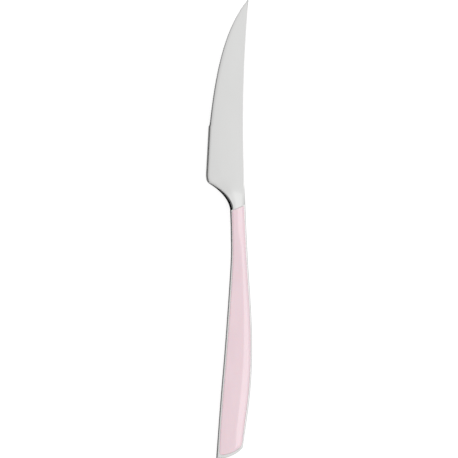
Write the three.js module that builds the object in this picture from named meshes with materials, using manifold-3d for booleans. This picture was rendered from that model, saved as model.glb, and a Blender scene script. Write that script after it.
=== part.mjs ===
// Table knife, in millimetres, lying on its side: +Y runs from butt to tip, the cutting edge faces -X,
// the spine faces +X and +Z is square to the blade's face.
// One steel forging (blade, bolster and full tang) carries two handle scales, bonded and pinned to the tang.
import * as THREE from "three";
import { mergeVertices } from "three/addons/utils/BufferGeometryUtils.js";
import Module from "manifold-3d";

const wasm = await Module();
wasm.setup();

// Blade in plan: reaches run from the joint between bolster and scales, offsets from the knife's middle line
const BLADE_REACH = 106.8;
const TIP_OFFSET = 5.75;
const TIP_ANGLE = 40.5;
const TIP_PULL = 16;
const TIP_BLUNTNESS = 0.5;
const SPINE_DIP_REACH = 43;
const SPINE_DIP_OFFSET = 2.9;
const BLADE_WIDTH = 18.95;
const HEEL_REACH = 13.3;
const HEEL_ROUND = 3.6;
const HEEL_SPINE_REACH = 21;
const HEEL_TAPER = 1.3;
const GRIND_REACH = 42.6;
const GRIND_STEP = 0.55;
const GRIND_STEP_LENGTH = 1.3;
const GRIND_ANGLE = 6.15;
const GRIND_PULL = 33;
const SHOULDER_ANGLE = 58.7;
const SHOULDER_PULL = 11.4;
const NECK_PULL = 1.8;

// Handle in plan: each station lies behind the one before it and has its own middle and width,
// and the ridge of the crown crosses it at a share of that width
const JOINT_SLANT = 22;
const JOINT_CENTRE = 0.22;
const JOINT_WIDTH = 7.74;
const JOINT_RIDGE = 0.42;
const THROAT_FROM_JOINT = 12;
const THROAT_CENTRE = 0.6;
const THROAT_WIDTH = 7.92;
const THROAT_RIDGE = 0.43;
const WAIST_FROM_THROAT = 16;
const WAIST_CENTRE = 0.92;
const WAIST_WIDTH = 8.85;
const WAIST_RIDGE = 0.635;
const GRIP_FROM_WAIST = 38;
const GRIP_CENTRE = 0.64;
const GRIP_WIDTH = 13.6;
const GRIP_RIDGE = 0.68;
const SWELL_FROM_GRIP = 29;
const SWELL_CENTRE = -0.91;
const SWELL_WIDTH = 15.35;
const SWELL_RIDGE = 0.66;
const BUTT_FROM_SWELL = 30.6;
const BUTT_CENTRE = -4.07;
const BUTT_WIDTH = 13.55;
const BUTT_RIDGE = 0.615;
const BUTT_PULL = 3.5;
const BUTT_SKEW = 0.6;
const BUTT_BLEND = 14;

// Thickness of the steel, and how its edges are worked
const SPINE_THICKNESS = 2;
const TIP_THICKNESS = 0.7;
const SPINE_ROUNDING = 0.12;
const HEEL_THICKNESS = 1.6;
const HEEL_EDGE = 0.2;
const HEEL_ROUNDING = 2.2;
const GRIND_TIP_THICKNESS = 0.6;
const GRIND_ROUNDING = 2.2;
const GRIND_FALL = 0.6;
const GRIND_WIDTH = 4.5;
const CUTTING_EDGE = 0.2;
const TANG_THICKNESS = 2.5;
const TANG_ROUNDING = 0.75;
const FLARE_REACH = 17;
const FLARE_POWER = 2;
const WORKED_SHARE = 0.85;

// Fine teeth, ground into the cutting edge from the back
const TOOTH_PITCH = 1.25;
const TOOTH_DEPTH = 0.14;
const TOOTH_RADIUS = 0.6;
const TOOTH_TILT = 18;
const TOOTH_CUTTER_LENGTH = 10;
const FIRST_TOOTH = 1.5;
const PLAIN_TIP = 6;

// Crown of the handle, level from its rounded left edge to a ridge, with a facet from there to the spine side
const CROWN_ROUNDING = 1.9;
const CROWN_SIDE = 1;
const FACET_ANGLE = 14;
const RIDGE_ROUNDING = 1;

// Scales, and the steel rim left bare around them, which is even beside the spine alone
const SCALE_THICKNESS = 2.2;
const JOINT_RIM = 0.75;
const SIDE_RIM = 1.15;
const RIM_BLEND = 45;
const SPINE_RIM = 0.6;
const BUTT_RIM = 1.4;
const JOINT_GAP = 0.3;
const SCALE_CORNER = 1;
const SCALE_END_ROUNDING = 2;
const SCALE_END_EDGE = 1;
const SCALE_END_CORNER = 1.5;

// Bond films and locating pins
const FILM_THICKNESS = 0.2;
const FILM_SETBACK = 0.3;
const PIN_RADIUS = 1.5;
const PIN_DEPTH = 1.1;
const PIN_CLEARANCE = 0.15;
const PIN_FRONT_MARGIN = 16;
const PIN_BUTT_MARGIN = 24;
const PIN_NAMES = ["front", "middle", "rear"];

// Facets
const ROUND_STEPS = 3;
const FACE_STEPS = 6;
const LAND_STEPS = 4;
const FACET_STEPS = 2;
const HANDLE_STEPS = 20;
const NECK_STEPS = 12;
const HEEL_STEPS = 4;
const UNGROUND_STEPS = 4;
const GROUND_STEPS = 18;
const PIN_FACETS = 24;
const CUTTER_FACETS = 12;

// Looks of the materials
const STEEL = { color: 0xd4d5d6, roughness: 0.25, metalness: 1 };
const PLASTIC = { color: 0xe8d0d6, roughness: 0.2, metalness: 0 };
const ADHESIVE = { color: 0xd9d2b8, roughness: 0.5, metalness: 0 };
const PIN_STEEL = { color: 0xa9abad, roughness: 0.4, metalness: 1 };

const TANG_HALF = TANG_THICKNESS / 2;
const SCALE_SEAT = TANG_HALF + FILM_THICKNESS;
const HANDLE_HALF = SCALE_SEAT + SCALE_THICKNESS;
const PIN_HOLE = PIN_RADIUS + PIN_CLEARANCE;
const RIGHT_ANGLE = Math.PI / 2;
const { lerp, degToRad, smoothstep } = THREE.MathUtils;

function point(x, y) {
  return new THREE.Vector2(x, y);
}

function raised(flat, height) {
  return new THREE.Vector3(flat.x, flat.y, height);
}

// Direction at an angle from the knife's length, turning towards the spine
function heading(degrees) {
  return point(Math.sin(degToRad(degrees)), Math.cos(degToRad(degrees)));
}

// Even shares of a stretch, from just after its start to its end
function shares(count) {
  return Array.from({ length: count }, (_, index) => (index + 1) / count);
}

// Ends of the slanted line across the handle at one station, and the point where the ridge crosses it
function station(back, centre, width, ridge) {
  const half = point(width / 2, (width / 2) * Math.tan(degToRad(JOINT_SLANT)));
  const middle = point(centre, -back);
  const left = middle.clone().sub(half);
  const right = middle.clone().add(half);
  return { left, right, ridge: left.clone().lerp(right, ridge) };
}

function handleStations() {
  const waist = THROAT_FROM_JOINT + WAIST_FROM_THROAT;
  const grip = waist + GRIP_FROM_WAIST;
  const swell = grip + SWELL_FROM_GRIP;
  return [
    station(0, JOINT_CENTRE, JOINT_WIDTH, JOINT_RIDGE),
    station(THROAT_FROM_JOINT, THROAT_CENTRE, THROAT_WIDTH, THROAT_RIDGE),
    station(waist, WAIST_CENTRE, WAIST_WIDTH, WAIST_RIDGE),
    station(grip, GRIP_CENTRE, GRIP_WIDTH, GRIP_RIDGE),
    station(swell, SWELL_CENTRE, SWELL_WIDTH, SWELL_RIDGE),
    station(swell + BUTT_FROM_SWELL, BUTT_CENTRE, BUTT_WIDTH, BUTT_RIDGE),
  ];
}

const stations = handleStations();
const joint = stations[0];
const butt = stations.at(-1);
const handle = {
  left: new THREE.SplineCurve(stations.map((place) => place.left)),
  right: new THREE.SplineCurve(stations.map((place) => place.right)),
  ridge: new THREE.SplineCurve(stations.map((place) => place.ridge)),
};
const handleLength = handle.left.getLength();

// The butt bows out behind the straight line between its two corners
function buttCurve() {
  const along = butt.right.clone().sub(butt.left).normalize();
  const outward = point(along.y, -along.x);
  const pull = butt.left.clone().lerp(butt.right, 0.5);
  pull.addScaledVector(outward, BUTT_PULL);
  pull.addScaledVector(along, BUTT_SKEW);
  return new THREE.QuadraticBezierCurve(butt.left, pull, butt.right);
}

const buttEdge = buttCurve();

// The spine is two half parabolas that meet where it dips furthest towards the edge
function spinePart(from, to) {
  const pull = point(SPINE_DIP_OFFSET, (from.y + to.y) / 2);
  return new THREE.QuadraticBezierCurve(from, pull, to);
}

const tip = point(TIP_OFFSET, BLADE_REACH);
const spineDip = point(SPINE_DIP_OFFSET, SPINE_DIP_REACH);
const lowerSpine = spinePart(joint.right, spineDip);
const upperSpine = spinePart(spineDip, tip);

function spineAt(reach) {
  const curve = reach < SPINE_DIP_REACH ? lowerSpine : upperSpine;
  const share = (reach - curve.v0.y) / (curve.v2.y - curve.v0.y);
  return { place: curve.getPoint(share), tangent: curve.getTangent(share) };
}

// Edge side of the blade: shoulder, heel corner, unground edge and, one step back, the ground cutting edge
function edgeCurves() {
  const edge = SPINE_DIP_OFFSET - BLADE_WIDTH;
  const corner = point(edge, HEEL_REACH);
  const shoulder = heading(-SHOULDER_ANGLE);
  const shoulderEnd = corner.clone().addScaledVector(shoulder, -HEEL_ROUND / 2);
  const heelEnd = point(edge, HEEL_REACH + HEEL_ROUND);
  const ungroundEnd = point(edge + HEEL_TAPER, GRIND_REACH - GRIND_STEP_LENGTH);
  const grindStart = point(ungroundEnd.x + GRIND_STEP, GRIND_REACH);
  const grindPull = grindStart.clone().addScaledVector(heading(GRIND_ANGLE), GRIND_PULL);
  const tipPull = tip.clone().addScaledVector(heading(TIP_ANGLE), -TIP_PULL);
  const neckPull = joint.left.clone().addScaledVector(handle.left.getTangent(0), -NECK_PULL);
  const shoulderPull = shoulderEnd.clone().addScaledVector(shoulder, -SHOULDER_PULL);
  return {
    shoulder: new THREE.CubicBezierCurve(joint.left, neckPull, shoulderPull, shoulderEnd),
    heel: new THREE.QuadraticBezierCurve(shoulderEnd, corner, heelEnd),
    unground: new THREE.LineCurve(heelEnd, ungroundEnd),
    ground: new THREE.CubicBezierCurve(grindStart, grindPull, tipPull, tip),
  };
}

const edges = edgeCurves();
const groundLength = edges.ground.getLength();

// One line across the blade, with the outline's direction at both ends and the share of it before the ridge
function bladeRung(curve, share, spineReach) {
  const spine = spineAt(spineReach);
  return {
    left: curve.getPointAt(share),
    leftTangent: curve.getTangentAt(share),
    right: spine.place,
    rightTangent: spine.tangent,
    ridge: JOINT_RIDGE,
  };
}

function handleRung(share) {
  const left = handle.left.getPointAt(share);
  const right = handle.right.getPointAt(share);
  const across = right.clone().sub(left);
  return {
    left,
    leftTangent: handle.left.getTangentAt(share),
    right,
    rightTangent: handle.right.getTangentAt(share),
    ridge: handle.ridge.getPointAt(share).sub(left).dot(across) / across.lengthSq(),
  };
}

// Length of a whole rung as measured square to the outline at its left and at its right end
function squareSpans(row) {
  const across = row.right.clone().sub(row.left);
  return {
    left: Math.abs(across.cross(row.leftTangent)),
    right: Math.abs(across.cross(row.rightTangent)),
  };
}

// Shares of a rung that lie a given width, measured square to the outline, inside its left and right ends
function inset(row, leftWidth, rightWidth) {
  const spans = squareSpans(row);
  return { left: leftWidth / spans.left, right: 1 - rightWidth / spans.right };
}

const unbowed = () => point(0, 0);

// Point over a rung, moved in plan by the bow of the butt
function onRung(row, across, height, bow = unbowed) {
  return raised(row.left.clone().lerp(row.right, across).add(bow(across)), height);
}

// Steps of a worked edge from the outline inwards: share of its width, and share of its rise to the face
function workedSteps(roundness) {
  return [0, ...shares(ROUND_STEPS)].map((share) => {
    const turn = share * RIGHT_ANGLE;
    return {
      inward: lerp(share, 1 - Math.cos(turn), roundness),
      rise: lerp(share, Math.sin(turn), roundness),
    };
  });
}

// A worked edge: its width in plan, its half height at the outline and at the face, and how round it is
function workedEdge(width, side, face, roundness) {
  return { width, side, face, roundness };
}

// Upper outline of a steel section: worked left edge, face, worked right edge
function sectionPoints(row, left, right, place) {
  const worked = inset(row, left.width, right.width);
  const squeeze = Math.min(1, WORKED_SHARE / (worked.left + 1 - worked.right));
  const faceStart = worked.left * squeeze;
  const faceEnd = 1 - (1 - worked.right) * squeeze;
  const leftPoints = workedSteps(left.roundness).map((step) =>
    place(step.inward * faceStart, lerp(left.side, left.face, step.rise)));
  const rightPoints = workedSteps(right.roundness).map((step) =>
    place(lerp(1, faceEnd, step.inward), lerp(right.side, right.face, step.rise)));
  const facePoints = shares(FACE_STEPS).slice(0, -1).map((share) =>
    place(lerp(faceStart, faceEnd, share), lerp(left.face, right.face, share)));
  return [...leftPoints, ...facePoints, ...rightPoints.reverse()];
}

function mirrored(upper) {
  return upper.map((place) => raised(place, -place.z));
}

// Closed ring from an upper outline and a lower one, which comes back the other way
function ring(upper, lower) {
  return [...upper, ...lower.toReversed()];
}

// Skin over rings that follow one another towards the tip, closed at both ends
function loft(rings) {
  const size = rings[0].length;
  const last = (rings.length - 1) * size;
  const indices = [];
  const quad = (a, b, c, d) => indices.push(a, b, c, a, c, d);
  for (let here = 0; here < last; here += size) {
    const ahead = here + size;
    for (let column = 0; column < size; column += 1) {
      const next = (column + 1) % size;
      quad(here + column, here + next, ahead + next, ahead + column);
    }
  }
  for (let column = 0; column < size / 2 - 1; column += 1) {
    const under = size - 1 - column;
    quad(column, under, under - 1, column + 1);
    quad(last + column, last + column + 1, last + under - 1, last + under);
  }
  const places = rings.flat().flatMap((place) => place.toArray());
  const geometry = new THREE.BufferGeometry();
  geometry.setAttribute("position", new THREE.Float32BufferAttribute(places, 3));
  geometry.setIndex(indices);
  return geometry;
}

function solid(geometry) {
  const bare = geometry.clone();
  bare.deleteAttribute("normal");
  bare.deleteAttribute("uv");
  const merged = mergeVertices(bare);
  const mesh = new wasm.Mesh({
    numProp: 3,
    vertProperties: new Float32Array(merged.attributes.position.array),
    triVerts: new Uint32Array(merged.index.array),
  });
  return new wasm.Manifold(mesh);
}

// Geometry of a body after each cutter has been taken out of it
function cut(geometry, cutters) {
  const body = cutters.reduce((rest, cutter) => rest.subtract(solid(cutter)), solid(geometry));
  const mesh = body.getMesh();
  const result = new THREE.BufferGeometry();
  result.setAttribute("position", new THREE.BufferAttribute(mesh.vertProperties, 3));
  result.setIndex(new THREE.BufferAttribute(mesh.triVerts, 1));
  return result;
}

// The blade thins evenly from the bolster to the tip
function spineEdge(reach) {
  const share = Math.max(0, (reach - HEEL_SPINE_REACH) / (BLADE_REACH - HEEL_SPINE_REACH));
  const face = lerp(SPINE_THICKNESS, TIP_THICKNESS, share) / 2;
  return workedEdge(SPINE_ROUNDING, face - SPINE_ROUNDING / 2, face, 1);
}

function heelEdge() {
  return workedEdge(HEEL_ROUNDING, HEEL_EDGE / 2, HEEL_THICKNESS / 2, 1);
}

// The ground edge falls off softly on the front and is cut by a flat bevel on the back
function groundEdges(share) {
  const face = lerp(HEEL_THICKNESS, GRIND_TIP_THICKNESS, share) / 2;
  const height = face * (1 - GRIND_FALL);
  return {
    front: workedEdge(GRIND_ROUNDING, height, face, 1),
    back: workedEdge(GRIND_WIDTH, CUTTING_EDGE - height, face, 0),
  };
}

// The bow of the butt fades out along the handle
function buttBow(share) {
  const weight = 1 - smoothstep((1 - share) * handleLength, 0, BUTT_BLEND);
  return (across) => {
    const chord = butt.left.clone().lerp(butt.right, across);
    return buttEdge.getPoint(across).sub(chord).multiplyScalar(weight);
  };
}

// Shares of the handle over a rounding, from the end that is rounded inwards
function roundedShares(end, rounding) {
  return workedSteps(1).map((step) => end + (step.inward * rounding) / handleLength);
}

// Rise from a rounded end: nothing at the end itself, full height one rounding away
function roundedRise(distance, rounding) {
  const share = Math.min(1, distance / rounding);
  return Math.sqrt(1 - (1 - share) ** 2);
}

// Drop of the facet at a distance past the ridge, which is rounded to both of its sides
function facetDrop(past) {
  const onRidge = Math.min(Math.max(past + RIDGE_ROUNDING, 0), 2 * RIDGE_ROUNDING);
  const onFacet = Math.max(past - RIDGE_ROUNDING, 0);
  return Math.tan(degToRad(FACET_ANGLE)) * (onRidge ** 2 / (4 * RIDGE_ROUNDING) + onFacet);
}

// Half height of the handle over a rung, which the bolster and the scales share
function crownHeight(row, across) {
  const spans = squareSpans(row);
  const edge = Math.min(across * spans.left, (1 - across) * spans.right);
  const top = HANDLE_HALF - facetDrop((across - row.ridge) * spans.right);
  return lerp(CROWN_SIDE, top, roundedRise(edge, CROWN_ROUNDING));
}

function tangRing(share) {
  const row = handleRung(share);
  const bow = buttBow(share);
  const rise = roundedRise((1 - share) * handleLength, TANG_ROUNDING);
  const side = TANG_HALF - TANG_ROUNDING;
  const edge = workedEdge(TANG_ROUNDING, side, lerp(side, TANG_HALF, rise), 1);
  const upper = sectionPoints(row, edge, edge, (across, height) => onRung(row, across, height, bow));
  return ring(upper, mirrored(upper));
}

// Bolster: the thin blade swells along the flare to the full section of the handle
function bolsterRing(share) {
  const reach = lerp(joint.right.y, HEEL_SPINE_REACH, share);
  const row = bladeRung(edges.shoulder, share, reach);
  const distance = (row.left.y + row.right.y) / 2;
  const flare = Math.max(0, 1 - distance / FLARE_REACH) ** FLARE_POWER;
  const widened = (edge) => ({ ...edge, width: lerp(edge.width, CROWN_ROUNDING, flare) });
  const place = (across, height) => onRung(row, across, lerp(height, crownHeight(row, across), flare));
  const upper = sectionPoints(row, widened(heelEdge()), widened(spineEdge(reach)), place);
  return ring(upper, mirrored(upper));
}

function bladeRing(curve, share, reach, { front, back }) {
  const row = bladeRung(curve, share, reach);
  const side = (edge) =>
    sectionPoints(row, edge, spineEdge(reach), (across, height) => onRung(row, across, height));
  return ring(side(front), mirrored(side(back)));
}

function bladeRings() {
  const heelSpine = HEEL_SPINE_REACH + HEEL_ROUND;
  const heelSides = { front: heelEdge(), back: heelEdge() };
  const heel = shares(HEEL_STEPS).map((share) =>
    bladeRing(edges.heel, share, lerp(HEEL_SPINE_REACH, heelSpine, share), heelSides));
  const unground = shares(UNGROUND_STEPS).map((share) =>
    bladeRing(edges.unground, share, lerp(heelSpine, GRIND_REACH - GRIND_STEP_LENGTH, share), heelSides));
  const bluntTip = 1 - TIP_BLUNTNESS / groundLength;
  const ground = [0, ...shares(GROUND_STEPS)].map((step) => {
    const share = step * bluntTip;
    return bladeRing(edges.ground, share, lerp(GRIND_REACH, BLADE_REACH, share), groundEdges(share));
  });
  return [...heel, ...unground, ...ground];
}

// One tooth's cutter: a tilted rod that breaks through the edge and runs out on the back of the blade
function toothCutter(share) {
  const place = edges.ground.getPointAt(share);
  const tangent = edges.ground.getTangentAt(share);
  const outward = new THREE.Vector3(-tangent.y, tangent.x, 0);
  const edge = groundEdges(share).front;
  const tilt = degToRad(TOOTH_TILT);
  const front = lerp(edge.side, edge.face, roundedRise(TOOTH_DEPTH, edge.width));
  const top = front + TOOTH_DEPTH * Math.tan(tilt);
  const axis = outward.clone().multiplyScalar(Math.cos(tilt)).setZ(Math.sin(tilt));
  const centre = raised(place, top - TOOTH_RADIUS * Math.cos(tilt));
  centre.addScaledVector(outward, TOOTH_RADIUS * Math.sin(tilt));
  const geometry = new THREE.CylinderGeometry(TOOTH_RADIUS, TOOTH_RADIUS, TOOTH_CUTTER_LENGTH, CUTTER_FACETS);
  geometry.applyQuaternion(new THREE.Quaternion().setFromUnitVectors(THREE.Object3D.DEFAULT_UP, axis));
  return geometry.translate(centre.x, centre.y, centre.z);
}

function toothCutters() {
  const count = Math.floor((groundLength - FIRST_TOOTH - PLAIN_TIP) / TOOTH_PITCH);
  return shares(count).map((_, index) => toothCutter((FIRST_TOOTH + index * TOOTH_PITCH) / groundLength));
}

// Middles of the pins, spread evenly along the handle between their two margins
function pinPlaces() {
  const first = PIN_FRONT_MARGIN / handleLength;
  const last = 1 - PIN_BUTT_MARGIN / handleLength;
  return PIN_NAMES.map((_, index) => {
    const row = handleRung(lerp(first, last, index / (PIN_NAMES.length - 1)));
    return row.left.lerp(row.right, 0.5);
  });
}

// Upright rod that reaches as far above the knife's middle plane as below it
function rod(place, radius, reach) {
  const geometry = new THREE.CylinderGeometry(radius, radius, 2 * reach, PIN_FACETS);
  return geometry.rotateX(RIGHT_ANGLE).translate(place.x, place.y, 0);
}

function bladeAndTang() {
  const rear = roundedShares(1, -TANG_ROUNDING);
  const along = shares(HANDLE_STEPS).map((step) => lerp(rear.at(-1), 0, step));
  const tang = [...rear, ...along].map(tangRing);
  const bolster = [0, ...shares(NECK_STEPS)].map(bolsterRing);
  const holes = pinPlaces().map((place) => rod(place, PIN_HOLE, TANG_THICKNESS));
  return cut(loft([...tang, ...bolster, ...bladeRings()]), [...holes, ...toothCutters()]);
}

// Share of the handle's length taken by a width that lies square to the slanted joint and butt
function slantedShare(width) {
  return width / Math.cos(degToRad(JOINT_SLANT)) / handleLength;
}

const scaleStart = slantedShare(JOINT_GAP);
const scaleEnd = 1 - slantedShare(BUTT_RIM);

// Widths of the steel rim left bare on both sides of a scale, which grow where its corners are rounded
function rimsAt(share) {
  const side = lerp(JOINT_RIM, SIDE_RIM, smoothstep(share * handleLength, 0, RIM_BLEND));
  const towardsJoint = 1 - roundedRise((share - scaleStart) * handleLength, SCALE_CORNER);
  const towardsButt = 1 - roundedRise((scaleEnd - share) * handleLength, SCALE_END_ROUNDING);
  const corners = SCALE_CORNER * towardsJoint + SCALE_END_CORNER * towardsButt;
  return { left: side + corners, right: SPINE_RIM + corners };
}

// Shares of a rung at which the crown of a scale bends, from one inset to the other
function crownShares(row, rims) {
  const strips = workedSteps(1).map(({ inward }) => inset(
    row,
    rims.left + inward * (CROWN_ROUNDING - SIDE_RIM),
    rims.right + inward * (CROWN_ROUNDING - SPINE_RIM),
  ));
  const ridgeHalf = RIDGE_ROUNDING / squareSpans(row).right;
  const ridge = [row.ridge - ridgeHalf, row.ridge, row.ridge + ridgeHalf];
  const left = strips.map((strip) => strip.left);
  const right = strips.map((strip) => strip.right).reverse();
  const land = shares(LAND_STEPS).slice(0, -1).map((step) => lerp(left.at(-1), ridge[0], step));
  const facet = shares(FACET_STEPS).slice(0, -1).map((step) => lerp(ridge.at(-1), right[0], step));
  return [...left, ...land, ...ridge, ...facet, ...right].sort((one, two) => one - two);
}

function crownPoints(share) {
  const row = handleRung(share);
  const bow = buttBow(share);
  const rise = roundedRise((scaleEnd - share) * handleLength, SCALE_END_ROUNDING);
  return crownShares(row, rimsAt(share)).map((across) =>
    onRung(row, across, lerp(SCALE_SEAT + SCALE_END_EDGE, crownHeight(row, across), rise), bow));
}

// A scale's rings: the crown over its level seat, or the same turned over for the back
function scaleRing(share, front) {
  const crown = crownPoints(share);
  const seat = crown.map((place) => raised(place, SCALE_SEAT));
  return front ? ring(crown, seat) : ring(mirrored(seat), mirrored(crown));
}

function scale(front) {
  const rear = roundedShares(scaleEnd, -SCALE_END_ROUNDING);
  const fore = roundedShares(scaleStart, SCALE_CORNER).reverse();
  const along = shares(HANDLE_STEPS).slice(0, -1).map((step) => lerp(rear.at(-1), fore[0], step));
  const rings = [...rear, ...along, ...fore].map((share) => scaleRing(share, front));
  const reach = SCALE_SEAT + PIN_DEPTH + PIN_CLEARANCE;
  return cut(loft(rings), pinPlaces().map((place) => rod(place, PIN_HOLE, reach)));
}

// Outline of the bond film, a setback inside the scale's own
function filmOutline() {
  const start = scaleStart + slantedShare(FILM_SETBACK);
  const end = scaleEnd - slantedShare(FILM_SETBACK);
  const along = [0, ...shares(HANDLE_STEPS)].map((step) => lerp(start, end, step));
  const place = (share, across) => {
    const row = handleRung(share);
    return row.left.lerp(row.right, across).add(buttBow(share)(across));
  };
  const stripAt = (share) => {
    const rims = rimsAt(share);
    return inset(handleRung(share), rims.left + FILM_SETBACK, rims.right + FILM_SETBACK);
  };
  const left = along.map((share) => place(share, stripAt(share).left));
  const right = along.map((share) => place(share, stripAt(share).right)).reverse();
  const last = stripAt(end);
  const rear = shares(FACE_STEPS).slice(0, -1).map((step) => place(end, lerp(last.left, last.right, step)));
  return [...left, ...rear, ...right];
}

function bondFilm(front) {
  const sheet = new THREE.Shape(filmOutline());
  sheet.holes = pinPlaces().map((place) =>
    new THREE.Path().absarc(place.x, place.y, PIN_HOLE, 0, 4 * RIGHT_ANGLE));
  const options = { depth: FILM_THICKNESS, bevelEnabled: false, curveSegments: PIN_FACETS / 2 };
  return new THREE.ExtrudeGeometry(sheet, options).translate(0, 0, front ? TANG_HALF : -SCALE_SEAT);
}

function locatingPin(place) {
  return rod(place, PIN_RADIUS, SCALE_SEAT + PIN_DEPTH);
}

function piece(name, geometry, look) {
  const mesh = new THREE.Mesh(geometry, new THREE.MeshStandardMaterial(look));
  mesh.name = name;
  return mesh;
}

const knife = new THREE.Group();
knife.add(piece("blade_and_tang", bladeAndTang(), STEEL));
for (const side of ["front", "back"]) {
  knife.add(piece(`${side}_scale`, scale(side === "front"), PLASTIC));
  knife.add(piece(`${side}_bond_film`, bondFilm(side === "front"), ADHESIVE));
}
pinPlaces().forEach((place, index) => {
  knife.add(piece(`${PIN_NAMES[index]}_locating_pin`, locatingPin(place), PIN_STEEL));
});

// The frame's origin lies under the middle of the knife, on the surface that it rests on
const box = new THREE.Box3().setFromObject(knife);
const middle = box.getCenter(new THREE.Vector3());
knife.position.set(-middle.x, -middle.y, -box.min.z);
const part = new THREE.Group();
part.add(knife);

export default part;
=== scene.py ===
import math
from types import SimpleNamespace

import bpy
import numpy as np
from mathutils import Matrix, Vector


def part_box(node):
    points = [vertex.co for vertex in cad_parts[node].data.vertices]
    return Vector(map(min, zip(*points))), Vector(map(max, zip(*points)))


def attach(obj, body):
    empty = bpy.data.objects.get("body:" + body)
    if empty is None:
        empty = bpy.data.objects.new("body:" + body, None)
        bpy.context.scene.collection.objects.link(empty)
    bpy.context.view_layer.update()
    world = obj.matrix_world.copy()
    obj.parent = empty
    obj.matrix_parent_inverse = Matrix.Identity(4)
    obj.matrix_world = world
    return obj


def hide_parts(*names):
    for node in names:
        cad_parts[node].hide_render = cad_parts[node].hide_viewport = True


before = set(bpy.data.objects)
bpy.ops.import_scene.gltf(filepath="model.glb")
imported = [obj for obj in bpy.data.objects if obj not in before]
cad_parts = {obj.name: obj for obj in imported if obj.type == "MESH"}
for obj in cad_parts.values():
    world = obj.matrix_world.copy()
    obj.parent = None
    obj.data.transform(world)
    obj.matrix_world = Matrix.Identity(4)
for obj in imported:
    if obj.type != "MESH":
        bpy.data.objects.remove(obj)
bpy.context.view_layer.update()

# Sizes of the object are in millimetres, from the middle of the joint between bolster and scales
MM = 0.001

# Blade in plan
BLADE_REACH = 106.8
TIP_OFFSET = 5.75
TIP_ANGLE = 40.5
TIP_PULL = 16
TIP_BLUNTNESS = 0.5
SPINE_DIP_REACH = 43
SPINE_DIP_OFFSET = 2.9
BLADE_WIDTH = 18.95
HEEL_REACH = 13.3
HEEL_ROUND = 3.6
HEEL_SPINE_REACH = 21
HEEL_TAPER = 1.3
GRIND_REACH = 42.6
GRIND_STEP = 0.55
GRIND_STEP_LENGTH = 1.3
GRIND_ANGLE = 6.15
GRIND_PULL = 33
SHOULDER_ANGLE = 58.7
SHOULDER_PULL = 11.4
NECK_PULL = 1.8

# Handle in plan, by stations: distance behind the joint, middle, width, and the ridge's share of the width
HANDLE_STATIONS = np.array([
    (0, 0.22, 7.74, 0.42),  # joint
    (12, 0.6, 7.92, 0.43),  # throat
    (28, 0.92, 8.85, 0.635),  # waist
    (66, 0.64, 13.6, 0.68),  # grip
    (95, -0.91, 15.35, 0.66),  # swell
    (125.6, -4.07, 13.55, 0.615),  # butt
])
STATION_BACK, STATION_CENTRE, STATION_WIDTH, STATION_RIDGE = HANDLE_STATIONS.T
JOINT_SLANT = 22
BUTT_PULL = 3.5
BUTT_SKEW = 0.6
BUTT_BLEND = 14

# Thickness of the steel, and how its edges are worked
SPINE_THICKNESS = 2
TIP_THICKNESS = 0.7
SPINE_ROUNDING = 0.12
HEEL_THICKNESS = 1.6
HEEL_EDGE = 0.2
HEEL_ROUNDING = 2.2
GRIND_TIP_THICKNESS = 0.6
GRIND_ROUNDING = 2.2
GRIND_FALL = 0.6
GRIND_WIDTH = 4.5
CUTTING_EDGE = 0.2
TANG_HALF = 1.25
TANG_ROUNDING = 0.75
FLARE_REACH = 17
FLARE_POWER = 2
WORKED_SHARE = 0.85

# Fine teeth, ground into the cutting edge from the back
TOOTH_PITCH = 1.25
TOOTH_DEPTH = 0.14
TOOTH_RADIUS = 0.6
TOOTH_TILT = math.radians(18)
FIRST_TOOTH = 1.5
PLAIN_TIP = 6
TOOTH_EDGE = 0.02

# Crown of the handle, and the scales with the steel rim around them
HANDLE_HALF = 3.65
CROWN_ROUNDING = 1.9
CROWN_SIDE = 1
FACET_SLOPE = math.tan(math.radians(14))
RIDGE_ROUNDING = 1
SCALE_SEAT = 1.45
JOINT_RIM = 0.75
SIDE_RIM = 1.15
RIM_BLEND = 45
SPINE_RIM = 0.6
BUTT_RIM = 1.4
JOINT_GAP = 0.3
SCALE_CORNER = 1
SCALE_END_ROUNDING = 2
SCALE_END_EDGE = 1
SCALE_END_CORNER = 1.5
SCALE_FILLET = 0.3

# Painted shade: a fine darker line along the border of the scales, standing for shade in the gap where they
# meet the steel rim, fainter beside the cutting edge and towards the joint
PAINTED_SHADE_WIDTH = 0.5
PAINTED_SHADE_LEVEL = 0.5
PAINTED_SHADE_FADE = 0.3
PAINTED_SHADE_BLEND = 70

# Fineness of the meshes
ROUND_STEPS = 10
FACE_STEPS = 20
LAND_STEPS = 14
RIDGE_STEPS = 12
FACET_STEPS = 8
TANG_RINGS = 110
SCALE_RINGS = 110
BOLSTER_RINGS = 64
HEEL_RINGS = 16
UNGROUND_RINGS = 40
RINGS_PER_TOOTH = 9
CURVE_STEPS = 4000
NOTCH_HALVINGS = 10
EDGE_CROWDING = 1.6
SHARP_ANGLE = math.radians(32)

# A quarter of a full turn, in radians
QUARTER_TURN = math.pi / 2

# Colours as linear light: each finish varies between a dark one and a light one
STEEL_DARK = (0.59, 0.59, 0.585)
STEEL_LIGHT = (0.61, 0.61, 0.605)
PINK_DARK = (0.59, 0.445, 0.485)
PINK_LIGHT = (0.62, 0.475, 0.515)
ADHESIVE_DARK = (0.58, 0.53, 0.38)
ADHESIVE_LIGHT = (0.7, 0.66, 0.5)
PIN_DARK = (0.36, 0.365, 0.37)
PIN_LIGHT = (0.42, 0.425, 0.43)
FLOOR_GREY = (0.3, 0.3, 0.3, 1)
WHITE = (1, 1, 1, 1)

# Noise of the finishes, and the range in which most of its values lie
NOISE_ROUGHNESS = 0.55
NOISE_RANGE = (0.3, 0.7)

# Camera, which looks straight down on the knife as the photograph does: metres, and a sensor in millimetres
CAMERA_HEIGHT = 2.4
PICTURE_HEIGHT = 0.2345
SENSOR = 36

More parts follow.
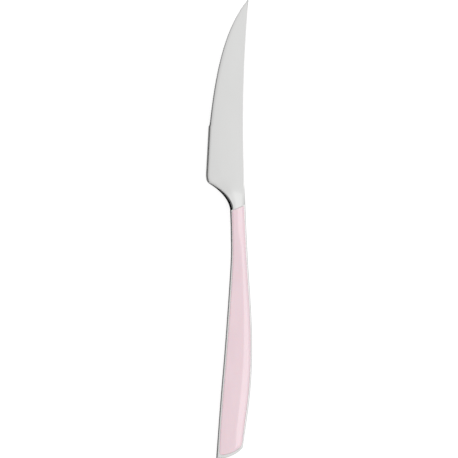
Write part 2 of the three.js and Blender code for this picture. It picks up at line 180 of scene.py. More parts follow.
# Floor, sky, and the black cards around the knife, with lengths in metres
FLOOR_HALF = 6
SKY_STRENGTH = 1.18
CARD_STEPS = 60
CARD_LIFT = 0.0001
FLOOR_CARD_HALF = 1.5

# Low black card beside the neck, in millimetres: it fades in along the handle and falls towards the heel
NECK_CARD_REACH = 45
NECK_CARD_GAP = 1.5
NECK_CARD_START_HEIGHT = 6
NECK_CARD_HEIGHT = 8.8
HEEL_CARD_HEIGHT = 5.5


def mixed(start, end, share):
    return start + (end - start) * share


def heading(degrees):
    turn = math.radians(degrees)
    return np.array([math.sin(turn), math.cos(turn)])


def bezier(*pulls):
    """A curve from its first point to its last, drawn towards those between them."""
    degree = len(pulls) - 1

    def place(share):
        share = np.asarray(share, float)[..., None]
        return sum(
            math.comb(degree, index) * share**index * (1 - share) ** (degree - index) * pull
            for index, pull in enumerate(pulls)
        )

    return place


def spline(stops):
    """A smooth curve through all its stops."""
    final = len(stops) - 1

    def place(share):
        spot = np.clip(share, 0, 1) * final
        first = np.minimum(spot.astype(int), final - 1)
        part = (spot - first)[..., None]
        before, start, end, after = (stops[np.clip(first + step, 0, final)] for step in (-1, 0, 1, 2))
        leaving = (end - before) / 2
        arriving = (after - start) / 2
        cubic = 2 * (start - end) + leaving + arriving
        square = 3 * (end - start) - 2 * leaving - arriving
        return ((cubic * part + square) * part + leaving) * part + start

    return place


def run_of(curve):
    """Shares of a curve, and its length up to each of them."""
    fine = np.linspace(0, 1, CURVE_STEPS + 1)
    steps = np.linalg.norm(np.diff(curve(fine), axis=0), axis=1)
    return fine, np.concatenate([[0], np.cumsum(steps)])


def length_of(curve):
    return run_of(curve)[1][-1]


def walk(curve, shares):
    """Points at shares of a curve's length, and the curve's direction there."""
    fine, run = run_of(curve)
    turns = np.interp(np.asarray(shares) * run[-1], run, fine)
    nudge = 1 / CURVE_STEPS
    ahead = curve(np.minimum(turns + nudge, 1)) - curve(np.maximum(turns - nudge, 0))
    return curve(turns), ahead / np.linalg.norm(ahead, axis=-1, keepdims=True)


def handle_rails():
    middle = np.stack([STATION_CENTRE, -STATION_BACK], axis=1)
    aside = STATION_WIDTH / 2
    half = np.stack([aside, aside * math.tan(math.radians(JOINT_SLANT))], axis=1)
    left = middle - half
    right = middle + half
    return left, right, mixed(left, right, STATION_RIDGE[:, None])


left_stops, right_stops, ridge_stops = handle_rails()
left_rail = spline(left_stops)
right_rail = spline(right_stops)
ridge_rail = spline(ridge_stops)
handle_length = length_of(left_rail)
joint_left, joint_right = left_stops[0], right_stops[0]
butt_left, butt_right = left_stops[-1], right_stops[-1]
tip = np.array([TIP_OFFSET, BLADE_REACH])


def butt_edge():
    """The butt bows out behind the straight line between its two corners."""
    along = (butt_right - butt_left) / np.linalg.norm(butt_right - butt_left)
    outward = np.array([along[1], -along[0]])
    pull = mixed(butt_left, butt_right, 0.5) + outward * BUTT_PULL + along * BUTT_SKEW
    return bezier(butt_left, pull, butt_right)


def edge_curves():
    """Edge side of the blade: shoulder, heel corner, unground edge and, one step back, the ground edge."""
    edge = SPINE_DIP_OFFSET - BLADE_WIDTH
    corner = np.array([edge, HEEL_REACH])
    shoulder = heading(-SHOULDER_ANGLE)
    shoulder_end = corner - shoulder * HEEL_ROUND / 2
    heel_end = np.array([edge, HEEL_REACH + HEEL_ROUND])
    unground_end = np.array([edge + HEEL_TAPER, GRIND_REACH - GRIND_STEP_LENGTH])
    grind_start = np.array([unground_end[0] + GRIND_STEP, GRIND_REACH])
    grind_pull = grind_start + heading(GRIND_ANGLE) * GRIND_PULL
    tip_pull = tip - heading(TIP_ANGLE) * TIP_PULL
    neck_pull = joint_left - walk(left_rail, [0])[1][0] * NECK_PULL
    shoulder_pull = shoulder_end - shoulder * SHOULDER_PULL
    return SimpleNamespace(
        shoulder=bezier(joint_left, neck_pull, shoulder_pull, shoulder_end),
        heel=bezier(shoulder_end, corner, heel_end),
        unground=bezier(heel_end, unground_end),
        ground=bezier(grind_start, grind_pull, tip_pull, tip),
    )


butt_curve = butt_edge()
edges = edge_curves()
ground_length = length_of(edges.ground)


def spine_at(reach):
    """Points of the spine, two half parabolas that meet where it dips furthest towards the edge."""
    dip = np.array([SPINE_DIP_OFFSET, SPINE_DIP_REACH])
    lower = reach < SPINE_DIP_REACH
    end = np.where(lower[:, None], joint_right, tip)
    share = (reach - dip[1]) / (end[:, 1] - dip[1])
    aside = (end[:, 0] - dip[0]) * share**2
    return np.stack([dip[0] + aside, reach], axis=1)


def spine_direction(reach):
    nudge = 1 / CURVE_STEPS
    ahead = spine_at(reach + nudge) - spine_at(reach - nudge)
    return ahead / np.linalg.norm(ahead, axis=1, keepdims=True)


def turned(first, second):
    """How far two directions in plan turn away from each other."""
    return np.abs(first[:, 0] * second[:, 1] - first[:, 1] * second[:, 0])


def rungs(left, left_direction, right, right_direction, ridge):
    """Lines across the knife, with their lengths measured square to the outline at each end."""
    across = right - left
    return SimpleNamespace(
        left=left,
        left_direction=left_direction,
        across=across,
        left_span=turned(across, left_direction)[:, None],
        right_span=turned(across, right_direction)[:, None],
        ridge=ridge,
    )


def blade_rungs(curve, shares, reach):
    left, left_direction = walk(curve, shares)
    return rungs(left, left_direction, spine_at(reach), spine_direction(reach), STATION_RIDGE[0])


def handle_rungs(shares):
    left, left_direction = walk(left_rail, shares)
    right, right_direction = walk(right_rail, shares)
    across = right - left
    ridge = ((walk(ridge_rail, shares)[0] - left) * across).sum(1) / (across**2).sum(1)
    return rungs(left, left_direction, right, right_direction, ridge[:, None])


def rounded_rise(distance, rounding):
    """Rise from a rounded end: nothing at the end itself, full height one rounding away."""
    return np.sqrt(1 - (1 - np.clip(distance / rounding, 0, 1)) ** 2)


def worked_rise(depth, roundness):
    """Rise of a worked edge, from 0 at the outline to 1 at its full depth."""
    share = np.linspace(0, 1, CURVE_STEPS)
    turn = share * QUARTER_TURN
    inward = mixed(share, 1 - np.cos(turn), roundness)
    return np.interp(depth, inward, mixed(share, np.sin(turn), roundness))


def round_steps():
    return 1 - np.cos(np.linspace(0, QUARTER_TURN, ROUND_STEPS + 1))


def on_rungs(row, across, height, bow=0):
    """Points over the rungs, moved in plan by the bow of the butt."""
    flat = row.left[:, None] + row.across[:, None] * across[..., None] + bow
    return np.concatenate([flat, height[..., None]], axis=-1)


def blend(distance, reach):
    """Soft step from 0 at no distance to 1 at a reach."""
    near = np.clip(distance / reach, 0, 1)
    return near**2 * (3 - 2 * near)


def butt_bow(shares, across):
    """The bow of the butt, which fades out along the handle."""
    weight = 1 - blend((1 - shares) * handle_length, BUTT_BLEND)
    chord = butt_left + (butt_right - butt_left) * across[..., None]
    return (butt_curve(across) - chord) * weight[:, None, None]


def steel_columns(row, left_width, right_width, faces, notch=0):
    """Shares of the rungs at which steel has points: left worked edge, face, right worked edge."""
    start = left_width / row.left_span
    gap = right_width / row.right_span
    squeeze = np.minimum(1, WORKED_SHARE / (start + gap))
    start = start * squeeze
    end = 1 - gap * squeeze
    opening = notch / row.left_span
    left = opening + (start - opening) * round_steps()
    right = mixed(1, end, round_steps())[:, ::-1]
    across = np.concatenate([left, mixed(start, end, faces), right], axis=1)
    return SimpleNamespace(across=across, start=start, end=end)


def worked_edge(side, face, roundness=1):
    """A worked edge: its half height at the outline and at the face, and how round it is."""
    return SimpleNamespace(side=side, face=face, roundness=roundness)


def steel_height(columns, left, right):
    """Half thickness of steel between two worked edges."""
    across = columns.across
    left_rise = worked_rise(across / columns.start, left.roundness)
    right_rise = worked_rise((1 - across) / (1 - columns.end), right.roundness)
    inside = np.clip((across - columns.start) / (columns.end - columns.start), 0, 1)
    face = mixed(left.face, right.face, inside)
    side = np.where(across < columns.start, left.side, right.side)
    return mixed(side, face, np.minimum(left_rise, right_rise))


def even_faces():
    return np.linspace(0, 1, FACE_STEPS + 1)[1:-1]


def edge_faces():
    """Columns of a face that crowd towards the cutting edge, where the teeth run out."""
    return even_faces() ** EDGE_CROWDING


def heel_edge():
    return worked_edge(HEEL_EDGE / 2, HEEL_THICKNESS / 2)


def spine_edge(reach):
    share = np.maximum(0, (reach - HEEL_SPINE_REACH) / (BLADE_REACH - HEEL_SPINE_REACH))
    face = mixed(SPINE_THICKNESS, TIP_THICKNESS, share[:, None]) / 2
    return worked_edge(face - SPINE_ROUNDING / 2, face)


def facet_drop(past):
    """Drop of the facet at a distance past the ridge, which is rounded to both of its sides."""
    on_ridge = np.clip(past + RIDGE_ROUNDING, 0, 2 * RIDGE_ROUNDING)
    on_facet = np.maximum(past - RIDGE_ROUNDING, 0)
    return FACET_SLOPE * (on_ridge**2 / (4 * RIDGE_ROUNDING) + on_facet)


def crown_height(row, across):
    """Half height of the handle, which the bolster and the scales share."""
    edge = np.minimum(across * row.left_span, (1 - across) * row.right_span)
    top = HANDLE_HALF - facet_drop((across - row.ridge) * row.right_span)
    return mixed(CROWN_SIDE, top, rounded_rise(edge, CROWN_ROUNDING))


def turned_over(upper):
    return upper * np.array([1, 1, -1])


def tang_surface():
    rear = 1 - round_steps() * TANG_ROUNDING / handle_length
    shares = np.concatenate([rear, np.linspace(rear[-1], 0, TANG_RINGS + 1)[1:]])
    row = handle_rungs(shares)
    columns = steel_columns(row, TANG_ROUNDING, TANG_ROUNDING, even_faces())
    rise = rounded_rise((1 - shares) * handle_length, TANG_ROUNDING)[:, None]
    side = TANG_HALF - TANG_ROUNDING
    edge = worked_edge(side, mixed(side, TANG_HALF, rise))
    height = steel_height(columns, edge, edge)
    upper = on_rungs(row, columns.across, height, butt_bow(shares, columns.across))
    return upper, turned_over(upper)


def bolster_surface():
    """The thin blade swells along the flare to the full section of the handle."""
    shares = np.linspace(0, 1, BOLSTER_RINGS + 1)
    reach = mixed(joint_right[1], HEEL_SPINE_REACH, shares)
    row = blade_rungs(edges.shoulder, shares, reach)
    distance = row.left[:, 1] + row.across[:, 1] / 2
    flare = (np.clip(1 - distance / FLARE_REACH, 0, 1) ** FLARE_POWER)[:, None]
    left_width = mixed(HEEL_ROUNDING, CROWN_ROUNDING, flare)
    right_width = mixed(SPINE_ROUNDING, CROWN_ROUNDING, flare)
    faces = mixed(even_faces(), edge_faces(), shares[:, None])
    columns = steel_columns(row, left_width, right_width, faces)
    height = steel_height(columns, heel_edge(), spine_edge(reach))
    upper = on_rungs(row, columns.across, mixed(height, crown_height(row, columns.across), flare))
    return upper, turned_over(upper)


def unground_surface(curve, count, spine_start, spine_end):
    shares = np.linspace(0, 1, count + 1)[1:]
    reach = mixed(spine_start, spine_end, shares)
    row = blade_rungs(curve, shares, reach)
    columns = steel_columns(row, HEEL_ROUNDING, SPINE_ROUNDING, edge_faces())
    upper = on_rungs(row, columns.across, steel_height(columns, heel_edge(), spine_edge(reach)))
    return upper, turned_over(upper)


def tooth_count():
    return int((ground_length - FIRST_TOOTH - PLAIN_TIP) / TOOTH_PITCH)


def front_height(edge, depth):
    """Height of the blade's front at a depth inside its ground edge."""
    return mixed(edge.side, edge.face, rounded_rise(depth, GRIND_ROUNDING))


def tooth_roof(run, depth, crest):
    """Height of the grooves' roof at a run along the edge and a depth inside it."""
    tooth = np.clip(np.round((run - FIRST_TOOTH) / TOOTH_PITCH), 0, tooth_count() - 1)
    aside = np.minimum(np.abs(run - FIRST_TOOTH - tooth * TOOTH_PITCH), TOOTH_RADIUS)
    fall = (TOOTH_RADIUS - np.sqrt(TOOTH_RADIUS**2 - aside**2)) / math.cos(TOOTH_TILT)
    roof = crest + (TOOTH_DEPTH - depth) * math.tan(TOOTH_TILT) - fall
    return np.where(aside < TOOTH_RADIUS, roof, -HANDLE_HALF)


def tooth_notch(run, edge, crest):
    """How far each groove cuts the outline back, found by halving."""
    low = np.zeros_like(run)
    high = np.full_like(run, TOOTH_DEPTH)
    for _ in range(NOTCH_HALVINGS):
        depth = (low + high) / 2
        cut = tooth_roof(run, depth, crest) > front_height(edge, depth)
        low = np.where(cut, depth, low)
        high = np.where(cut, high, depth)
    return low


def ground_surface():
    """The ground part of the blade, with its grooves on the back and their notches in the edge."""
    rings = round(ground_length / TOOTH_PITCH * RINGS_PER_TOOTH)
    shares = np.linspace(0, 1 - TIP_BLUNTNESS / ground_length, rings + 1)
    run = (shares * ground_length)[:, None]
    reach = mixed(GRIND_REACH, BLADE_REACH, shares)
    row = blade_rungs(edges.ground, shares, reach)
    face = mixed(HEEL_THICKNESS, GRIND_TIP_THICKNESS, shares[:, None]) / 2
    front = worked_edge(face * (1 - GRIND_FALL), face)
    back = worked_edge(CUTTING_EDGE - front.side, face, roundness=0)
    crest = front_height(front, TOOTH_DEPTH)
    notch = tooth_notch(run, front, crest)
    spine = spine_edge(reach)
    upper_columns = steel_columns(row, GRIND_ROUNDING, SPINE_ROUNDING, edge_faces(), notch)
    upper = on_rungs(row, upper_columns.across, steel_height(upper_columns, front, spine))
    lower_columns = steel_columns(row, GRIND_WIDTH, SPINE_ROUNDING, edge_faces(), notch)
    lower = turned_over(on_rungs(row, lower_columns.across, steel_height(lower_columns, back, spine)))
    inward = lower[..., :2] - row.left[:, None]
    along = (inward * row.left_direction[:, None]).sum(-1)
    roof = tooth_roof(run + along, lower_columns.across * row.left_span, crest)
    lower[..., 2] = np.minimum(np.maximum(lower[..., 2], roof), upper[..., 2] - TOOTH_EDGE)
    return upper, lower


def steel_surface():
    heel_spine = HEEL_SPINE_REACH + HEEL_ROUND
    parts = [
        tang_surface(),
        bolster_surface(),
        unground_surface(edges.heel, HEEL_RINGS, HEEL_SPINE_REACH, heel_spine),
        unground_surface(edges.unground, UNGROUND_RINGS, heel_spine, GRIND_REACH - GRIND_STEP_LENGTH),
        ground_surface(),
    ]
    return tuple(np.concatenate(side) for side in zip(*parts))


def slanted_share(width):
    """Share of the handle's length taken by a width square to the slanted joint and butt."""
    return width / math.cos(math.radians(JOINT_SLANT)) / handle_length


def stretch(start, end, steps):
    """Even columns from just after a start to just before an end."""
    return mixed(start, end, np.linspace(0, 1, steps + 1)[1:-1])


def crown_columns(row, left_rim, right_rim):
    """Shares of the rungs at which a scale has points, crowded at its edges and over its ridge."""
    left = (left_rim + round_steps() * (CROWN_ROUNDING - SIDE_RIM)) / row.left_span
    right = 1 - (right_rim + round_steps()[::-1] * (CROWN_ROUNDING - SPINE_RIM)) / row.right_span
    ridge = row.ridge + np.linspace(-1, 1, RIDGE_STEPS + 1) * RIDGE_ROUNDING / row.right_span
    land = stretch(left[:, -1:], ridge[:, :1], LAND_STEPS)
    facet = stretch(ridge[:, -1:], right[:, :1], FACET_STEPS)
    return np.sort(np.concatenate([left, land, ridge, facet, right], axis=1), axis=1)


def scale_surface():
    """The upper scale: its softly broken crown, its level seat, and how far each point lies inside its
    border, for the painted shade along it.
    """
    start = slanted_share(JOINT_GAP)
    end = 1 - slanted_share(BUTT_RIM)
    rear = end - round_steps() * SCALE_END_ROUNDING / handle_length
    fore = start + round_steps()[::-1] * SCALE_CORNER / handle_length
    shares = np.concatenate([rear, stretch(rear[-1], fore[0], SCALE_RINGS), fore])
    row = handle_rungs(shares)
    from_joint = ((shares - start) * handle_length)[:, None]
    from_butt = ((end - shares) * handle_length)[:, None]
    rise = rounded_rise(from_butt, SCALE_END_ROUNDING)
    corner = SCALE_CORNER * (1 - rounded_rise(from_joint, SCALE_CORNER))
    side_rim = mixed(JOINT_RIM, SIDE_RIM, blend(shares * handle_length, RIM_BLEND))[:, None]
    corners = corner + SCALE_END_CORNER * (1 - rise)
    left_rim = side_rim + corners
    right_rim = SPINE_RIM + corners
    across = crown_columns(row, left_rim, right_rim)
    from_edge = across * row.left_span - left_rim
    from_spine = (1 - across) * row.right_span - right_rim
    inside = np.minimum(np.minimum(from_edge, from_spine), from_joint)
    broken = SCALE_FILLET * (1 - rounded_rise(inside, SCALE_FILLET))
    height = mixed(SCALE_SEAT + SCALE_END_EDGE, crown_height(row, across), rise) - broken
    upper = on_rungs(row, across, height, butt_bow(shares, across))
    lower = upper * np.array([1, 1, 0]) + np.array([0, 0, SCALE_SEAT])
    # Distances for the painted shade along the border: fainter beside the cutting edge and the joint,
    # stronger beside the spine and the butt
    fade = PAINTED_SHADE_FADE * (1 - blend(shares * handle_length, PAINTED_SHADE_BLEND))[:, None]
    faint = np.minimum(from_edge, from_joint) + PAINTED_SHADE_FADE
    strong = np.minimum(from_spine, from_butt) + fade
    return upper, lower, np.minimum(faint, strong)


def skin(upper, lower):
    """Corners and faces of a closed skin over rings that follow one another towards the tip."""
    count, columns = upper.shape[:2]
    corners = np.concatenate([upper, lower[:, ::-1]], axis=1)
    index = np.arange(count * 2 * columns).reshape(count, 2 * columns)
    here, ahead = index[:-1], index[1:]
    sides = np.stack([here, np.roll(here, -1, 1), np.roll(ahead, -1, 1), ahead], axis=-1)
    over, under = index[:, :columns], index[:, ::-1][:, :columns]
    ends = np.stack([over[:, :-1], under[:, :-1], under[:, 1:], over[:, 1:]], axis=-1)
    faces = np.concatenate([sides.reshape(-1, 4), ends[0], ends[-1][:, ::-1]])
    return corners.reshape(-1, 3), faces


def middle_of(corners):
    return (corners.min(0) + corners.max(0)) / 2


def add_mesh(name, corners, faces, material):
    mesh = bpy.data.meshes.new(name)
    mesh.from_pydata(corners.tolist(), [], faces.tolist())
    mesh.materials.append(material)
    mesh.shade_smooth()
    mesh.set_sharp_from_angle(angle=SHARP_ANGLE)
    mesh.update()
    thing = bpy.data.objects.new(name, mesh)
    bpy.context.scene.collection.objects.link(thing)
    return thing


def add_values(thing, name, values):
    """A value for each corner of a mesh, for its material to read."""
    attribute = thing.data.attributes.new(name, "FLOAT", "POINT")
    attribute.data.foreach_set("value", values)


def add_piece(name, surface, place, material, node):
    """A fine piece that stands for a CAD node."""
    corners, faces = skin(*surface)
    thing = add_mesh(name, corners * MM + place, faces, material)
    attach(thing, "root")
    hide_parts(node)
    return thing


def add_scale(name, upper, lower, inside, place, material, node):
    """A scale, each of whose corners knows how far it lies inside the scale's border, for the painted shade
    along it.
    """
    scale = add_piece(name, (upper, lower), place, material, node)
    add_values(scale, "inside", np.concatenate([inside, inside[:, ::-1]], axis=1).ravel())


def add_node(tree, kind, values=(), **settings):
    node = tree.nodes.new(kind)
    for key, value in settings.items():
        setattr(node, key, value)
    for key, value in dict(values).items():
        node.inputs[key].default_value = value
    return node


def new_material(name, **values):
    """A material whose shader has these even values, and the tree to which its texture is added."""
    material = bpy.data.materials.new(name)
    material.use_nodes = True
    tree = material.node_tree
    shader = tree.nodes["Principled BSDF"]
    for key, value in values.items():
        shader.inputs[key.replace("_", " ")].default_value = value
    return material, tree, shader


def texture(tree, per_metre, stretched=(1, 1, 1), turn=0, detail=3):
    """Noise in the object's own frame, by its features a metre and how far they stretch along the axes."""
    place = add_node(tree, "ShaderNodeTexCoord")
    stretch_values = {"Scale": stretched, "Rotation": (0, 0, math.radians(turn))}
    mapping = add_node(tree, "ShaderNodeMapping", stretch_values, vector_type="TEXTURE")
    noise_values = {"Scale": per_metre, "Detail": detail, "Roughness": NOISE_ROUGHNESS}
    noise = add_node(tree, "ShaderNodeTexNoise", noise_values)
    tree.links.new(place.outputs["Object"], mapping.inputs["Vector"])
    tree.links.new(mapping.outputs["Vector"], noise.inputs["Vector"])
    return noise.outputs["Fac"]


def spread(tree, source, across, to):
    """A value that goes over one range while its source goes across another."""
    values = {"From Min": across[0], "From Max": across[1], "To Min": to[0], "To Max": to[1]}
    node = add_node(tree, "ShaderNodeMapRange", values, interpolation_type="SMOOTHSTEP")
    tree.links.new(source, node.inputs["Value"])
    return node.outputs["Result"]


def together(tree, first, second, operation="ADD"):
    node = add_node(tree, "ShaderNodeMath", operation=operation)
    tree.links.new(first, node.inputs[0])
    tree.links.new(second, node.inputs[1])
    return node.outputs["Value"]


def tint(tree, source, stops):
    """Colours along a ramp, from (position, colour) stops."""
    node = add_node(tree, "ShaderNodeValToRGB")
    ramp = node.color_ramp
    while len(ramp.elements) < len(stops):
        ramp.elements.new(stops[-1][0])
    for element, (position, colour) in zip(ramp.elements, stops):
        element.position = position
        element.color = (*colour, 1)
    tree.links.new(source, node.inputs["Fac"])
    return node.outputs["Color"]


def shaded(tree, source, dark, light, across=NOISE_RANGE):
    """Colour that goes from dark to light while its source goes across a range."""
    return tint(tree, source, list(zip(across, (dark, light))))


def relief(tree, source, shader, depth, strength):
    """Fine relief of a given depth in metres."""
    node = add_node(tree, "ShaderNodeBump", {"Distance": depth, "Strength": strength})
    tree.links.new(source, node.inputs["Height"])
    tree.links.new(node.outputs["Normal"], shader.inputs["Normal"])


def scratches(tree, turn):
    """Hairline scratches, turned some degrees away from the knife's length."""
    noise = texture(tree, per_metre=3000, stretched=(1, 50, 1), turn=turn)
    return spread(tree, noise, across=(0.68, 0.74), to=(0, 1))


def steel_material():
    """Polished stainless steel: lengthwise grain, hairline scratches, and faint clouds from wiping."""
    material, tree, shader = new_material("polished_steel", Metallic=1)
    grain = texture(tree, per_metre=9000, stretched=(1, 60, 1))
    clouds = texture(tree, per_metre=90, stretched=(1, 3, 1), detail=4)
    hairs = together(tree, scratches(tree, turn=9), scratches(tree, turn=-14))
    grain_finish = spread(tree, grain, across=NOISE_RANGE, to=(0.1, 0.15))
    wiped_finish = spread(tree, clouds, across=(0.35, 0.7), to=(0, 0.04))
    hair_finish = spread(tree, hairs, across=(0, 1), to=(0, 0.06))
    rough = together(tree, together(tree, grain_finish, wiped_finish), hair_finish)
    tree.links.new(shaded(tree, clouds, STEEL_DARK, STEEL_LIGHT), shader.inputs["Base Color"])
    tree.links.new(rough, shader.inputs["Roughness"])
    relief(tree, together(tree, grain, hairs, "SUBTRACT"), shader, depth=0.000002, strength=0.15)
    return material


def painted_border_shade(tree):
    """Painted shade along a scale's border: a fine line darker than the plastic inside it, standing for
    shade where the scale meets the steel.
    """
    inside = add_node(tree, "ShaderNodeAttribute", attribute_name="inside")
    return spread(tree, inside.outputs["Fac"], across=(0, PAINTED_SHADE_WIDTH), to=(PAINTED_SHADE_LEVEL, 1))


def plastic_material():
    """Glossy pale pink plastic: pearly clouds, fine specks, a mould ripple, and painted shade in a darker
    line along its border.
    """
    material, tree, shader = new_material(
        "pearl_pink_plastic", IOR=1.55, Coat_Weight=1, Coat_Roughness=0.06, Subsurface_Weight=0.06,
        Subsurface_Scale=0.001,
    )
    clouds = texture(tree, per_metre=130, stretched=(1, 4, 1), detail=4)
    specks = texture(tree, per_metre=7000, detail=1)
    cloud_pearl = spread(tree, clouds, across=NOISE_RANGE, to=(0, 0.75))
    speck_pearl = spread(tree, specks, across=(0.35, 0.65), to=(0, 0.25))
    pearl = together(tree, cloud_pearl, speck_pearl)
    # Base colour darkened near the border by the painted shade
    painted_shade = add_node(tree, "ShaderNodeVectorMath", operation="SCALE")
    tree.links.new(shaded(tree, pearl, PINK_DARK, PINK_LIGHT, across=(0.1, 0.9)), painted_shade.inputs["Vector"])
    tree.links.new(painted_border_shade(tree), painted_shade.inputs["Scale"])
    tree.links.new(painted_shade.outputs["Vector"], shader.inputs["Base Color"])
    tree.links.new(spread(tree, clouds, across=NOISE_RANGE, to=(0.16, 0.24)), shader.inputs["Roughness"])
    relief(tree, texture(tree, per_metre=600, detail=2), shader, depth=0.000004, strength=0.2)
    return material


def adhesive_material():
    """Cured adhesive with cloudy patches and small pits."""
    material, tree, shader = new_material("cured_adhesive", IOR=1.5)
    clouds = texture(tree, per_metre=900, detail=4)
    tree.links.new(shaded(tree, clouds, ADHESIVE_DARK, ADHESIVE_LIGHT), shader.inputs["Base Color"])
    tree.links.new(spread(tree, clouds, across=NOISE_RANGE, to=(0.4, 0.6)), shader.inputs["Roughness"])
    relief(tree, texture(tree, per_metre=5000), shader, depth=0.00002, strength=0.4)
    return material


def pin_material():
    """Drawn steel rod, with its draw lines along the pin."""
    material, tree, shader = new_material("drawn_steel", Metallic=1)
    lines = texture(tree, per_metre=6000, stretched=(1, 1, 40))
    tree.links.new(shaded(tree, lines, PIN_DARK, PIN_LIGHT), shader.inputs["Base Color"])
    tree.links.new(spread(tree, lines, across=NOISE_RANGE, to=(0.3, 0.45)), shader.inputs["Roughness"])
    relief(tree, lines, shader, depth=0.000005, strength=0.3)
    return material


def dress(node, material):
    """A CAD node that keeps its shape and gets a better material."""
    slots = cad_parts[node].data.materials
    slots.clear()
    slots.append(material)


def add_knife():
    steel = steel_surface()
    low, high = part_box("blade_and_tang")
    place = (np.array(low) + np.array(high)) / 2 - middle_of(skin(*steel)[0]) * MM
    crown, seat, inside = scale_surface()
    plastic = plastic_material()
    add_piece("steel_blank", steel, place, steel_material(), "blade_and_tang")
    add_scale("upper_scale", crown, seat, inside, place, plastic, "front_scale")
    add_scale("lower_scale", turned_over(seat), turned_over(crown), inside, place, plastic, "back_scale")
    adhesive = adhesive_material()
    pin = pin_material()
    for side in ("front", "back"):
        dress(f"{side}_bond_film", adhesive)
    for spot in ("front", "middle", "rear"):
        dress(f"{spot}_locating_pin", pin)
    return place


def strip_faces(count):
    """Faces of a strip between two lines of as many corners."""
    return np.array([(i, i + 1, i + 1 + count, i + count) for i in range(count - 1)])


def add_floor():
    """White acrylic floor, softly lit from below."""
    material, _, _ = new_material(
        "white_floor", Base_Color=FLOOR_GREY, Roughness=0.6, Emission_Color=WHITE, Emission_Strength=0.75,
    )
    sides = (-FLOOR_HALF, FLOOR_HALF)
    corners = np.array([(x, y, 0) for y in sides for x in sides])
    add_mesh("floor", corners, strip_faces(len(sides)), material)


def card_material(name):
    """Black card that lets light through where it isn't dark: the material, its tree, and its darkness."""
    material = bpy.data.materials.new(name)
    material.use_nodes = True
    tree = material.node_tree
    tree.nodes.clear()
    output = add_node(tree, "ShaderNodeOutputMaterial")
    glass = add_node(tree, "ShaderNodeBsdfTransparent")
    black = add_node(tree, "ShaderNodeEmission", {"Strength": 0})
    mix = add_node(tree, "ShaderNodeMixShader")
    darkness, clear_side, dark_side = mix.inputs
    tree.links.new(glass.outputs["BSDF"], clear_side)
    tree.links.new(black.outputs["Emission"], dark_side)
    tree.links.new(mix.outputs["Shader"], output.inputs["Surface"])
    return material, tree, darkness


def elevation(tree):
    """Elevation over a card's own origin, as a share of a quarter turn."""
    place = add_node(tree, "ShaderNodeTexCoord")
    parts = add_node(tree, "ShaderNodeSeparateXYZ")
    away = add_node(tree, "ShaderNodeMath", {1: -1}, operation="MULTIPLY")
    lift = add_node(tree, "ShaderNodeMath", operation="ARCTAN2")
    share = add_node(tree, "ShaderNodeMath", {1: QUARTER_TURN}, operation="DIVIDE")
    tree.links.new(place.outputs["Object"], parts.inputs["Vector"])
    tree.links.new(parts.outputs["X"], away.inputs[0])
    tree.links.new(parts.outputs["Z"], lift.inputs[0])
    tree.links.new(away.outputs["Value"], lift.inputs[1])
    tree.links.new(lift.outputs["Value"], share.inputs[0])
    return share.outputs["Value"]


def seen_in_reflections_only(card):
    card.visible_camera = False
    card.visible_diffuse = False
    card.visible_shadow = False


def add_card(name, radius, reach, turn, stops):
    """Black card that curves up beside the knife, from (degrees of elevation, darkness) stops."""
    turns = np.radians(np.linspace(0, stops[-1][0], CARD_STEPS + 1))
    line = radius * np.stack([-np.cos(turns), np.sin(turns)], axis=1)
    corners = np.array([(x, y, z) for y in (-reach, reach) for x, z in line])
    material, tree, darkness = card_material(name)
    ramp = [(math.radians(degrees) / QUARTER_TURN, (dark, dark, dark)) for degrees, dark in stops]
    tree.links.new(tint(tree, elevation(tree), ramp), darkness)
    card = add_mesh(name, corners, strip_faces(len(line)), material)
    card.location = (0, 0, CARD_LIFT)
    card.rotation_euler = (0, 0, math.radians(turn))
    seen_in_reflections_only(card)


def add_floor_card(name, width, dark):
    """Black card that lies on the floor to one side of the knife."""
    ends = (-FLOOR_CARD_HALF, FLOOR_CARD_HALF)
    corners = np.array([(x, y, CARD_LIFT) for x in (0, width) for y in ends])
    material, _, darkness = card_material(name)
    darkness.default_value = dark
    seen_in_reflections_only(add_mesh(name, corners, strip_faces(len(ends)), material))


def neck_card_line():
    """Foot of the neck card in plan, at a gap beside the handle's front and the shoulder."""
    handle_shares = np.linspace(NECK_CARD_REACH / handle_length, 0, CARD_STEPS, endpoint=False)
    handle_line, handle_back = walk(left_rail, handle_shares)
    blade_line, blade_ahead = walk(edges.shoulder, np.linspace(0, 1, CARD_STEPS + 1))
    ahead = np.concatenate([-handle_back, blade_ahead])
    outward = np.stack([-ahead[:, 1], ahead[:, 0]], axis=1)
    return np.concatenate([handle_line, blade_line]) + outward * NECK_CARD_GAP


def add_neck_card(place):
    """Low black card beside the steel, from the handle, where it fades in, to the heel."""
    line = neck_card_line()
    along_handle = np.linspace(0, 1, CARD_STEPS, endpoint=False)
    along_blade = np.linspace(0, 1, CARD_STEPS + 1)
    rise = np.concatenate([
        mixed(NECK_CARD_START_HEIGHT, NECK_CARD_HEIGHT, along_handle),
        mixed(NECK_CARD_HEIGHT, HEEL_CARD_HEIGHT, along_blade),
    ])
    fade = np.concatenate([along_handle**2, np.ones_like(along_blade)])
    foot = np.pad(line, ((0, 0), (0, 1))) * MM + place * np.array([1, 1, 0])
    top = foot + np.outer(rise, (0, 0, MM))
    material, tree, darkness = card_material("neck_card")
    shade = add_node(tree, "ShaderNodeAttribute", attribute_name="darkness")
    tree.links.new(shade.outputs["Fac"], darkness)
    card = add_mesh("neck_card", np.concatenate([foot, top]), strip_faces(len(line)), material)
    add_values(card, "darkness", np.concatenate([fade, fade]))
    seen_in_reflections_only(card)


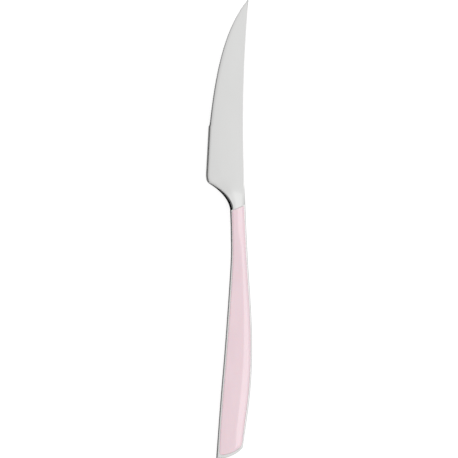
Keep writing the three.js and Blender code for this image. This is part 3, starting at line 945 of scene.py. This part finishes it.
def add_light(name, place, aim, size, glow):
    data = bpy.data.lights.new(name, "AREA")
    data.shape = "RECTANGLE"
    data.size, data.size_y = size
    data.energy = glow * math.pi * size[0] * size[1]
    lamp = bpy.data.objects.new(name, data)
    lamp.location = place
    lamp.rotation_euler = (Vector(aim) - lamp.location).to_track_quat("-Z", "Y").to_euler()
    lamp.visible_camera = False
    bpy.context.scene.collection.objects.link(lamp)


def add_world():
    world = bpy.data.worlds.new("studio")
    world.use_nodes = True
    sky = world.node_tree.nodes["Background"]
    sky.inputs["Color"].default_value = WHITE
    sky.inputs["Strength"].default_value = SKY_STRENGTH
    bpy.context.scene.world = world


def add_camera():
    data = bpy.data.cameras.new("camera")
    data.sensor_width = SENSOR
    data.lens = SENSOR * (CAMERA_HEIGHT - HANDLE_HALF * MM) / PICTURE_HEIGHT
    camera = bpy.data.objects.new("camera", data)
    camera.location = (0, 0, CAMERA_HEIGHT)
    bpy.context.scene.collection.objects.link(camera)
    bpy.context.scene.camera = camera


bpy.context.scene.view_settings.view_transform = "Standard"
add_camera()
add_world()
add_floor()
add_card("near_card", radius=0.13, reach=0.4, turn=0, stops=[(0, 0.25), (65, 0.25), (90, 0)])
add_card("side_card", radius=1, reach=1.5, turn=0, stops=[(0, 0.5), (34, 0.5), (50, 0)])
add_card("edge_card", radius=1, reach=0.5, turn=0, stops=[(34, 0), (48, 0.95), (54, 0.95), (72, 0)])
add_card("shoulder_card", radius=1, reach=0.3, turn=58, stops=[(40, 0), (50, 0.12), (58, 0.12), (80, 0)])
add_card("right_card", radius=1, reach=1.5, turn=180, stops=[(0, 0.15), (28, 0.15), (44, 0)])
add_floor_card("left_floor_card", width=-1, dark=0.85)
add_floor_card("right_floor_card", width=1, dark=0.2)
add_light("right_softbox", place=(0.54, -0.22, 1), aim=(0, -0.22, 0), size=(0.7, 0.24), glow=1.35)
add_light("right_fill", place=(0.95, -0.22, 0.8), aim=(0, -0.22, 0), size=(0.7, 0.55), glow=0.35)
add_light("right_wall", place=(1.2, 0, 0.7), aim=(0, 0, 0.1), size=(1.8, 1.1), glow=0.12)
add_light("tip_softbox", place=(0, 0.6, 0.9), aim=(0, 0, 0), size=(0.9, 0.6), glow=0.17)
add_neck_card(add_knife())
